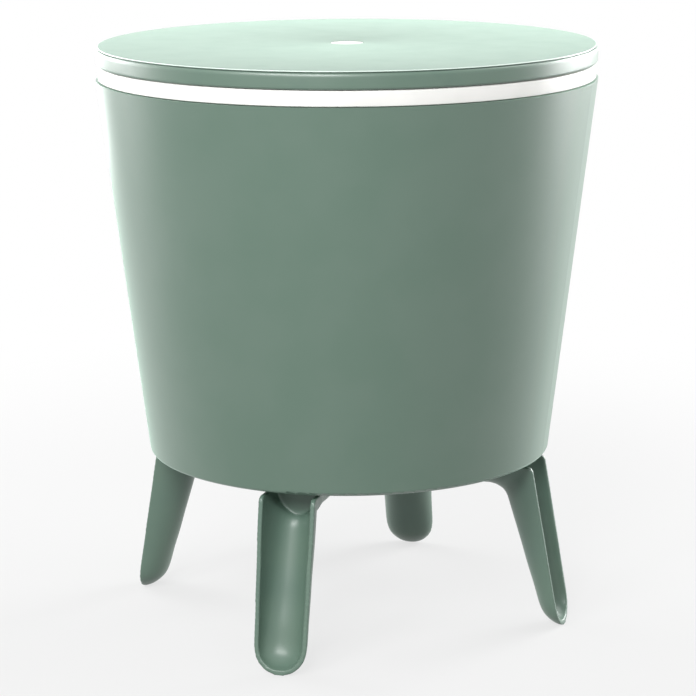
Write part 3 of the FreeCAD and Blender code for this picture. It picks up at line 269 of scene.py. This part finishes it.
def poleAluminium(name, values):
    # drawn tube: fine lines along the pole, slightly hazed
    finish = Finish(name, Metallic=1.0)
    lines = finish.noise(values["lines"], values["lineStretch"], detail=4.0)
    haze = finish.noise(values["haze"], detail=3.0)
    colour = finish.mottle(haze, values["hazeSpan"], values["colour"], values["dark"])
    rough = values["roughness"] + lines * values["lineRoughness"] + (haze - 0.5) * values["hazeRoughness"]
    return finish.wear(Base_Color=colour, Roughness=rough,
                       Normal=finish.bump(lines, values["lineDepth"]))


steelValues = {"colour": "b9babd", "dark": "8d8f93", "roughness": 0.34,
               "haze": 2.2, "hazeSpan": (0.35, 0.7), "hazeRoughness": 0.2, "hazeDepth": 0.01}


def screwSteel(name, values):
    finish = Finish(name, Metallic=1.0)
    haze = finish.noise(values["haze"], detail=3.0)
    colour = finish.mottle(haze, values["hazeSpan"], values["colour"], values["dark"])
    rough = values["roughness"] + (haze - 0.5) * values["hazeRoughness"]
    return finish.wear(Base_Color=colour, Roughness=rough,
                       Normal=finish.bump(haze, values["hazeDepth"]))


foamValues = {"colour": "efe9db", "shade": "dfd7c5", "roughness": 0.9,
              "bead": 3.2, "beadSpan": (0.1, 0.7), "beadRoughness": 0.1, "beadDepth": 0.35}


def mouldedBeads(name, values):
    # expanded foam: packed beads
    finish = Finish(name)
    beads = finish.cells(values["bead"])
    colour = finish.mottle(beads, values["beadSpan"], values["colour"], values["shade"])
    rough = values["roughness"] + (beads - 0.5) * values["beadRoughness"]
    return finish.wear(Base_Color=colour, Roughness=rough,
                       Normal=finish.bump(1 - beads, values["beadDepth"]))


drumValues = {**sageValues, "waveSize": 60, "waveStretch": (1, 1, 0.12), "sheen": 0.5}
# the legs are the drum's plastic painted lighter, as painted light standing in for light in the drum's
# shade
lightenedLegValues = {**sageValues, "colour": "5f7769", "pale": "62796b", "deep": "5c7468",
             "wave": 0.06, "waveSize": 30, "skin": 0.3, "sheen": 0.15}
legFinish = sagePlastic("legSage", lightenedLegValues)
bucketFinish = plainMoulded("bucketWhite", whiteValues)
steelFinish = screwSteel("screwSteel", steelValues)
slotFinishes = {
    "sage_plastic": sagePlastic("drumSage", drumValues),
    "white_plastic": bucketFinish,
    "grey_plastic": plainMoulded("liftGrey", greyValues),
    "foam": mouldedBeads("foamBeads", foamValues),
    "pole_aluminium": poleAluminium("poleAluminium", aluminiumValues),
    "screw_steel": steelFinish,
    "seal_rubber": plainMoulded("sealRubber", rubberValues),
}
for part in frame["record"]["subparts"]:
    name, slot = part["node"], part["material_slot"]
    chosen = legFinish if name.startswith("leg_") and slot == "sage_plastic" else slotFinishes[slot]
    for material in frame["nodes"][name].material_slots:
        material.material = chosen
print("finishes made:", len(bpy.data.materials))


# Turned pieces: an outline (radius, level) swept round the axis in Geometry Nodes

def rounded(corners, steps=6):
    # corners are (radius, level) or (radius, level, rounding); rounded ones become short arcs of steps
    points = []
    count = len(corners)
    for i, corner in enumerate(corners):
        here = Vector(corner[:2])
        if len(corner) == 2:
            points.append(here)
            continue
        before = (Vector(corners[i - 1][:2]) - here).normalized()
        after = (Vector(corners[(i + 1) % count][:2]) - here).normalized()
        half = before.angle(after) / 2
        reach = corner[2] / math.tan(half)
        centre = here + (before + after).normalized() * corner[2] / math.sin(half)
        start, end = here + before * reach - centre, here + after * reach - centre
        swing = start.angle_signed(end)
        for step in range(steps + 1):
            arm = Matrix.Rotation(-swing * step / steps, 2) @ start
            points.append(centre + arm)
    return points


def outlineCurve(name, points):
    # the circle it is swept round has a radius of 1 m, and the sweep turns the outline's Y downwards
    data = bpy.data.curves.new(name, "CURVE")
    data.dimensions = "3D"
    line = data.splines.new("POLY")
    line.points.add(len(points) - 1)
    for spot, point in zip(line.points, points):
        spot.co = (point[0] * mm - 1, -point[1] * mm, 0, 1)
    line.use_cyclic_u = True
    made = bpy.data.objects.new(name, data)
    bpy.context.scene.collection.objects.link(made)
    return made


class Tree:
    # a Geometry Nodes tree with named inputs
    def __init__(self, name, inputs):
        self.group = bpy.data.node_groups.new(name, "GeometryNodeTree")
        face = self.group.interface
        self.sockets = {}
        for label, kind in [("Geometry", "Geometry")] + inputs:
            self.sockets[label] = face.new_socket(label, in_out="INPUT", socket_type="NodeSocket" + kind)
        face.new_socket("Geometry", in_out="OUTPUT", socket_type="NodeSocketGeometry")
        self.start = self.group.nodes.new("NodeGroupInput")
        self.end = self.group.nodes.new("NodeGroupOutput")

    def input(self, label):
        return self.start.outputs[label]

    def node(self, kind, settings=None, sockets=None, out=0):
        made = self.group.nodes.new(kind)
        for name, value in (settings or {}).items():
            setattr(made, name, value)
        for name, value in (sockets or {}).items():
            if isinstance(value, bpy.types.NodeSocket):
                self.group.links.new(value, made.inputs[name])
            else:
                made.inputs[name].default_value = value
        return made.outputs[out]

    def close(self, geometry):
        real = self.node("GeometryNodeRealizeInstances", None, {0: geometry})
        painted = self.node("GeometryNodeSetMaterial", None,
                            {"Geometry": real, "Material": self.input("Finish")})
        self.group.links.new(painted, self.end.inputs[0])


def bake(worker, tree, name, values, sharp):
    # runs a tree on the worker object and keeps the result as a plain mesh at the origin
    modifier = worker.modifiers.new(tree.group.name, "NODES")
    modifier.node_group = tree.group
    for label, value in values.items():
        modifier[tree.sockets[label].identifier] = value
    graph = bpy.context.evaluated_depsgraph_get()
    mesh = bpy.data.meshes.new_from_object(worker.evaluated_get(graph), depsgraph=graph)
    bpy.data.objects.remove(worker)
    form = bmesh.new()
    form.from_mesh(mesh)
    bmesh.ops.remove_doubles(form, verts=form.verts, dist=weldGap)
    bmesh.ops.delete(form, geom=[e for e in form.edges if not e.link_faces], context="EDGES")
    bmesh.ops.recalc_face_normals(form, faces=form.faces)
    form.to_mesh(mesh)
    form.free()
    mesh.name = name
    mesh.shade_smooth()
    mesh.set_sharp_from_angle(angle=math.radians(sharp))
    piece = bpy.data.objects.new(name, mesh)
    bpy.context.scene.collection.objects.link(piece)
    return piece


def sweepOutline(tree):
    # the tree's outline swept once round the axis, as a closed skin that faces outwards
    circle = tree.node("GeometryNodeCurvePrimitiveCircle", None,
                       {"Resolution": tree.input("Steps"), "Radius": 1.0})
    upright = tree.node("GeometryNodeSetCurveNormal", {"mode": "Z_UP"}, {"Curve": circle})
    skin = tree.node("GeometryNodeCurveToMesh", None,
                     {"Curve": upright, "Profile Curve": tree.input("Geometry")})
    closed = tree.node("GeometryNodeMergeByDistance", None, {"Geometry": skin, "Distance": weldGap})
    return tree.node("GeometryNodeFlipFaces", None, {"Mesh": closed})


turned = Tree("turnedOutline", [("Steps", "Int"), ("Finish", "Material")])
turned.close(sweepOutline(turned))

bored = Tree("boredOutline", [("Steps", "Int"), ("Bore Radius", "Float"), ("Bore Depth", "Float"),
                              ("Bore Place", "Vector"), ("Finish", "Material")])
borer = bored.node("GeometryNodeMeshCylinder", None,
                   {"Vertices": 64, "Radius": bored.input("Bore Radius"),
                    "Depth": bored.input("Bore Depth")})
placedBorer = bored.node("GeometryNodeTransform", None,
                         {"Geometry": borer, "Translation": bored.input("Bore Place")})
bored.close(bored.node("GeometryNodeMeshBoolean", {"operation": "DIFFERENCE"},
                       {"Mesh 1": sweepOutline(bored), "Mesh 2": placedBorer}))


def turnPiece(name, corners, finish, steps, bore=None):
    worker = outlineCurve(name + "Outline", rounded(corners))
    values = {"Steps": steps, "Finish": finish, **(bore or {})}
    return bake(worker, bored if bore else turned, name, values, sharp=38)


def settle(piece, body, node):
    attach(piece, body)
    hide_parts(node)
    print(piece.name, "on", body, "with", len(piece.data.polygons), "faces")


# The lid: a flat top with a fine shadow line inside its soft shoulder, a skirt and a hub for the pole

lid = {"radius": 245.5, "foot": 559.7, "top": 576.4, "wall": 3.0, "topWall": 5.0, "steps": 256,
       "lip": 1.6, "lipInset": 0.8, "lipRound": 1.0, "footRound": 0.4, "innerRound": 0.6,
       "shoulderOut": 1.9, "shoulderDrop": 4.2, "shoulderSteps": 8,
       "slotHeight": 0.55, "slotDepth": 1.6, "slotRound": 0.15,
       "rimOut": 0.5, "rimHeight": 1.25, "rimRound": 0.85,
       "hub": 50.0, "hubFoot": 562.3, "hubRound": 1.0,
       "boltBore": 4.3, "boltRoom": 7.3, "boltSeat": 568.7,
       "capRoom": 16.7, "capSink": 3.2, "capRoomRound": 0.4}
lidValues = {**sageValues, "smudges": 0.35, "sheen": 0.38}
lidFinish = sagePlastic("lidSage", lidValues, rim=lid)


def makeLid(v):
    skirt, ceiling = v["radius"] - v["wall"], v["top"] - v["topWall"]
    rimFoot = v["top"] - v["rimHeight"]
    slotFoot = rimFoot - v["slotHeight"]
    rim = v["radius"] - v["shoulderOut"] + v["rimOut"]
    shoulder = []
    for step in range(v["shoulderSteps"] + 1):
        swing = math.pi / 2 * step / v["shoulderSteps"]
        shoulder.append((v["radius"] - v["shoulderOut"] * (1 - math.cos(swing)),
                         slotFoot - v["shoulderDrop"] * (1 - math.sin(swing))))
    corners = [
        (v["boltBore"], v["hubFoot"]), (v["hub"], v["hubFoot"], v["hubRound"]),
        (v["hub"], ceiling, v["hubRound"]), (skirt, ceiling, v["hubRound"]),
        (skirt, v["foot"], v["innerRound"]), (v["radius"] - v["lipInset"], v["foot"], v["footRound"]),
        (v["radius"], v["foot"] + v["lip"], v["lipRound"]),
        *shoulder,
        (rim - v["slotDepth"], slotFoot), (rim - v["slotDepth"], rimFoot),
        (rim, rimFoot, v["slotRound"]), (rim, v["top"], v["rimRound"]),
        (v["capRoom"], v["top"], v["capRoomRound"]), (v["capRoom"], v["top"] - v["capSink"]),
        (v["boltRoom"], v["top"] - v["capSink"]), (v["boltRoom"], v["boltSeat"]),
        (v["boltBore"], v["boltSeat"]),
    ]
    settle(turnPiece("tableTop", corners, lidFinish, v["steps"]), "table", "table_top")


makeLid(lid)

centreCap = {"radius": 16.4, "foot": 573.2, "top": 576.1, "footRound": 0.3, "edge": 0.7, "steps": 96,
             "rim": 1.6, "rimRound": 0.5, "dish": 0.25, "dishSlope": 1.2, "dishRound": 1.5}


def makeCentreCap(v):
    inner = v["radius"] - v["rim"]
    dish = v["top"] - v["dish"]
    corners = [
        (0, v["foot"]), (v["radius"], v["foot"], v["footRound"]), (v["radius"], v["top"], v["edge"]),
        (inner, v["top"], v["rimRound"]), (inner - v["dishSlope"], dish, v["dishRound"]), (0, dish),
    ]
    settle(turnPiece("lidCap", corners, bucketFinish, v["steps"]), "table", "center_cap")


makeCentreCap(centreCap)


# The ice bucket: a tub whose rim turns over into the white band, with a shadow gap over the drum

bucket = {"column": 30.4, "underside": 299.9, "floor": 302.9, "steps": 256,
          "outsideAtFoot": 194.4, "outsideAtRim": 225.5, "footRound": 2.0, "neckRound": 1.5,
          "insideAtFloor": 191.75, "insideAtRim": 222.9, "corner": 14.0,
          "rimUnderside": 555.9, "rim": 558.9, "rimRound": 2.0,
          "bandRadius": 244.0, "bandWall": 3.0, "bandFoot": 543.9, "bandRound": 1.0,
          "gapHeight": 0.75, "gapDepth": 2.2, "gapRound": 0.3,
          "drainPlace": 84.0, "drainRadius": 9.8, "drainReach": 20.0}


def makeBucket(v):
    bandSide = v["bandRadius"] - v["gapDepth"]
    bandInside = v["bandRadius"] - v["bandWall"]
    gapTop = v["bandFoot"] + v["gapHeight"]
    corners = [
        (v["column"], v["underside"]), (v["outsideAtFoot"], v["underside"], v["footRound"]),
        (v["outsideAtRim"], v["rimUnderside"], v["neckRound"]),
        (bandInside, v["rimUnderside"], v["bandRound"]), (bandInside, v["bandFoot"]),
        (bandSide, v["bandFoot"]), (bandSide, gapTop), (v["bandRadius"], gapTop, v["gapRound"]),
        (v["bandRadius"], v["rim"], v["rimRound"]), (v["insideAtRim"], v["rim"], v["rimRound"]),
        (v["insideAtFloor"], v["floor"], v["corner"]), (v["column"], v["floor"]),
    ]
    bore = {"Bore Radius": v["drainRadius"] * mm, "Bore Depth": v["drainReach"] * mm,
            "Bore Place": [v["drainPlace"] * mm, v["drainPlace"] * mm, v["floor"] * mm]}
    piece = turnPiece("iceBucket", corners, bucketFinish, v["steps"], bore)
    settle(piece, "drum", "ice_bucket")


makeBucket(bucket)


# The legs: the solids' own shape with evenly spread faces and softened edges

legSkin = {"weld": 0.002, "faceSize": 1.0, "softness": 0.5, "softRounds": 7}


def softLeg(name, node, v):
    form = bmesh.new()
    form.from_mesh(frame["nodes"][node].data)
    bmesh.ops.remove_doubles(form, verts=form.verts, dist=v["weld"] * mm)
    mesh = bpy.data.meshes.new(name)
    form.to_mesh(mesh)
    form.free()
    worker = bpy.data.objects.new(name, mesh)
    bpy.context.scene.collection.objects.link(worker)
    even = worker.modifiers.new("evenFaces", "REMESH")
    even.mode = "VOXEL"
    even.voxel_size = v["faceSize"] * mm
    soft = worker.modifiers.new("softEdges", "SMOOTH")
    soft.factor = v["softness"]
    soft.iterations = v["softRounds"]
    graph = bpy.context.evaluated_depsgraph_get()
    skin = bpy.data.meshes.new_from_object(worker.evaluated_get(graph), depsgraph=graph)
    bpy.data.objects.remove(worker)
    skin.name = name
    skin.shade_smooth()
    skin.materials.clear()
    skin.materials.append(legFinish)
    piece = bpy.data.objects.new(name, skin)
    bpy.context.scene.collection.objects.link(piece)
    settle(piece, "drum", node)


for side in ("Front", "Right", "Back", "Left"):
    softLeg("leg" + side, "leg_" + side.lower(), legSkin)


# Screws: one turned screw with a hexagon socket, set in rows and round the axis

screws = Tree("screwRing", [("Steps", "Int"), ("Socket Radius", "Float"), ("Socket Depth", "Float"),
                            ("Head Top", "Float"), ("Tip", "Rotation"), ("Row Count", "Int"),
                            ("Row Start", "Vector"), ("Row Step", "Vector"), ("Around", "Int"),
                            ("Finish", "Material")])
blank = sweepOutline(screws)
socketTool = screws.node("GeometryNodeMeshCylinder", None,
                         {"Vertices": 6, "Radius": screws.input("Socket Radius"),
                          "Depth": screws.input("Socket Depth")})
toolSpot = screws.node("ShaderNodeCombineXYZ", None, {"Z": screws.input("Head Top")})
placedTool = screws.node("GeometryNodeTransform", None,
                         {"Geometry": socketTool, "Translation": toolSpot})
screw = screws.node("GeometryNodeMeshBoolean", {"operation": "DIFFERENCE"},
                    {"Mesh 1": blank, "Mesh 2": placedTool})
tipped = screws.node("GeometryNodeTransform", None,
                     {"Geometry": screw, "Rotation": screws.input("Tip")})
row = screws.node("GeometryNodeMeshLine", {"mode": "OFFSET"},
                  {"Count": screws.input("Row Count"), "Start Location": screws.input("Row Start"),
                   "Offset": screws.input("Row Step")})
rowScrews = screws.node("GeometryNodeInstanceOnPoints", None, {"Points": row, "Instance": tipped})
hoop = screws.node("GeometryNodeMeshLine", {"mode": "OFFSET"},
                   {"Count": screws.input("Around"), "Offset": (0.0, 0.0, 0.0)})
number = screws.node("GeometryNodeInputIndex")
share = screws.node("ShaderNodeMath", {"operation": "DIVIDE"}, {0: number, 1: screws.input("Around")})
angle = screws.node("ShaderNodeMath", {"operation": "MULTIPLY"}, {0: share, 1: 2 * math.pi})
spin = screws.node("ShaderNodeCombineXYZ", None, {"Z": angle})
screws.close(screws.node("GeometryNodeInstanceOnPoints", None,
                         {"Points": hoop, "Instance": rowScrews, "Rotation": spin}))

# the head's seat is at level 0 and the shank points up; headRound and socket are shares of the head
screwShape = {"steps": 24, "headRound": 0.22, "seatRound": 0.15, "tipRound": 0.4, "socket": 0.5}
bigScrew = {**screwShape, "head": 4.6, "headHeight": 3.2, "shank": 2.4, "length": 25.0}
smallScrew = {**screwShape, "head": 3.4, "headHeight": 2.0, "shank": 1.7}
screwSets = {
    "legScrews": {"screw": bigScrew, "rowCount": 2, "start": (120, -14, 159.2), "step": (0, 28, 0),
                  "around": 4, "tip": (0, 0, 0), "body": "drum", "node": "leg_screws"},
    "flangeScrews": {"screw": {**smallScrew, "length": 12.0}, "rowCount": 1, "start": (37, 0, 556.1),
                     "step": (0, 0, 0), "around": 6, "tip": (0, 0, 0), "body": "table",
                     "node": "flange_screws"},
    "collarScrews": {"screw": {**smallScrew, "length": 7.5}, "rowCount": 1, "start": (31.6, 0, 519.9),
                     "step": (0, 0, 0), "around": 3, "tip": (0, -90, 0), "body": "drum",
                     "node": "collar_screws"},
    "footScrews": {"screw": {**smallScrew, "length": 3.75}, "rowCount": 1, "start": (0, 20.75, 209.7),
                   "step": (0, 0, 0), "around": 2, "tip": (90, 0, 0), "body": "table",
                   "node": "foot_screws"},
}


def makeScrews(name, v):
    s = v["screw"]
    corners = [
        (0, -s["headHeight"]), (s["head"], -s["headHeight"], s["head"] * s["headRound"]),
        (s["head"], 0, s["seatRound"]), (s["shank"], 0), (s["shank"], s["length"], s["tipRound"]),
        (0, s["length"]),
    ]
    worker = outlineCurve(name + "Outline", rounded(corners, steps=4))
    values = {"Steps": s["steps"], "Socket Radius": s["head"] * s["socket"] * mm,
              "Socket Depth": s["headHeight"] * mm, "Head Top": -s["headHeight"] * mm,
              "Tip": [math.radians(a) for a in v["tip"]], "Row Count": v["rowCount"],
              "Row Start": [c * mm for c in v["start"]], "Row Step": [c * mm for c in v["step"]],
              "Around": v["around"], "Finish": steelFinish}
    settle(bake(worker, screws, name, values, sharp=30), v["body"], v["node"])


for name, values in screwSets.items():
    makeScrews(name, values)


# Stage and light

# the floor's lengths are metres here: its shadow fades out between fadeFrom and fadeTo from the middle
stage = {"floorRadius": 5.0, "floorSteps": 96, "paper": 0.45, "bounce": 0.20, "shadowShare": 0.3,
         "fadeFrom": 0.55, "fadeTo": 1.3, "roomLight": 0.40}
# lamps: azimuth from the camera's side, distance and size in metres, power in watts, aimed at the drum
lampAim = 330
lamps = {
    "topLamp": {"azimuth": 180, "elevation": 74, "distance": 2.6, "size": (2.0, 2.0), "power": 8},
    "keyLamp": {"azimuth": -12, "elevation": 30, "distance": 3.0, "size": (0.8, 0.8), "power": 46},
    "keySideLamp": {"azimuth": -36, "elevation": 35, "distance": 3.0, "size": (0.8, 0.8), "power": 36},
    "leftBackLamp": {"azimuth": -125, "elevation": 15, "distance": 2.4, "size": (0.9, 1.1), "power": 25},
    "rightBackLamp": {"azimuth": 128, "elevation": 15, "distance": 2.4, "size": (0.9, 1.1), "power": 50},
    "rightTopLamp": {"azimuth": 95, "elevation": 45, "distance": 2.6, "size": (0.9, 0.9), "power": 12},
    "leftTopLamp": {"azimuth": -135, "elevation": 48, "distance": 2.6, "size": (0.9, 0.9), "power": 10},
    "leftSideLamp": {"azimuth": -108, "elevation": 7, "distance": 2.4, "size": (0.9, 1.4), "power": 13},
    "rightSideLamp": {"azimuth": 110, "elevation": 7, "distance": 2.4, "size": (0.9, 1.4), "power": 20},
    "leftRimLamp": {"azimuth": -150, "elevation": 6, "distance": 2.4, "size": (0.7, 1.1), "power": 9},
}


def makeFloor(v):
    form = bmesh.new()
    bmesh.ops.create_circle(form, cap_ends=True, segments=v["floorSteps"],
                            radius=v["floorRadius"])
    mesh = bpy.data.meshes.new("studioFloor")
    form.to_mesh(mesh)
    form.free()
    floor = bpy.data.objects.new("studioFloor", mesh)
    bpy.context.scene.collection.objects.link(floor)
    finish = Finish("studioFloor", Roughness=0.9, Specular_IOR_Level=0.1)
    paper = finish.node("ShaderNodeEmission", None, {"Color": (1, 1, 1, 1), "Strength": 1.0})
    seen = finish.seen()
    bounce, pale = [(v[key],) * 3 + (1,) for key in ("bounce", "paper")]
    finish.wear(Base_Color=finish.blendColours(seen, bounce, pale))
    away = finish.node("ShaderNodeVectorMath", {"operation": "LENGTH"}, {0: finish.spot}, out="Value")
    paperShare = seen * (1 - v["shadowShare"] * (1 - away.over(v["fadeFrom"], v["fadeTo"])))
    mixed = finish.node("ShaderNodeMixShader", None,
                        {0: paperShare, 1: Wired(finish, finish.shader.outputs[0]), 2: paper})
    finish.feed(finish.tree.nodes["Material Output"].inputs["Surface"], mixed)
    mesh.materials.append(finish.material)
    print("floor laid")


def lightRoom(v):
    world = bpy.data.worlds.new("studioRoom")
    bpy.context.scene.world = world
    world.use_nodes = True
    room = Shading(world.node_tree)
    back = room.tree.nodes["Background"]
    back.inputs["Color"].default_value = (1, 1, 1, 1)
    room.feed(back.inputs["Strength"], v["roomLight"] + (1 - v["roomLight"]) * room.seen())
    print("room light", v["roomLight"])


def hangLamps(values):
    aim = Vector((0, 0, lampAim * mm))
    for name, v in values.items():
        data = bpy.data.lights.new(name, "AREA")
        data.shape = "RECTANGLE"
        data.size, data.size_y = v["size"]
        data.energy = v["power"]
        lamp = bpy.data.objects.new(name, data)
        bpy.context.scene.collection.objects.link(lamp)
        turn, rise = math.radians(v["azimuth"] + camera["azimuth"]), math.radians(v["elevation"])
        way = Vector((math.sin(turn) * math.cos(rise), -math.cos(turn) * math.cos(rise), math.sin(rise)))
        lamp.location = aim + way * v["distance"]
        lamp.rotation_mode = "QUATERNION"
        lamp.rotation_quaternion = (-way).to_track_quat("-Z", "Y")
    print("lamps hung:", len(values))


makeFloor(stage)
lightRoom(stage)
hangLamps(lamps)
bpy.context.scene.view_settings.view_transform = "Standard"
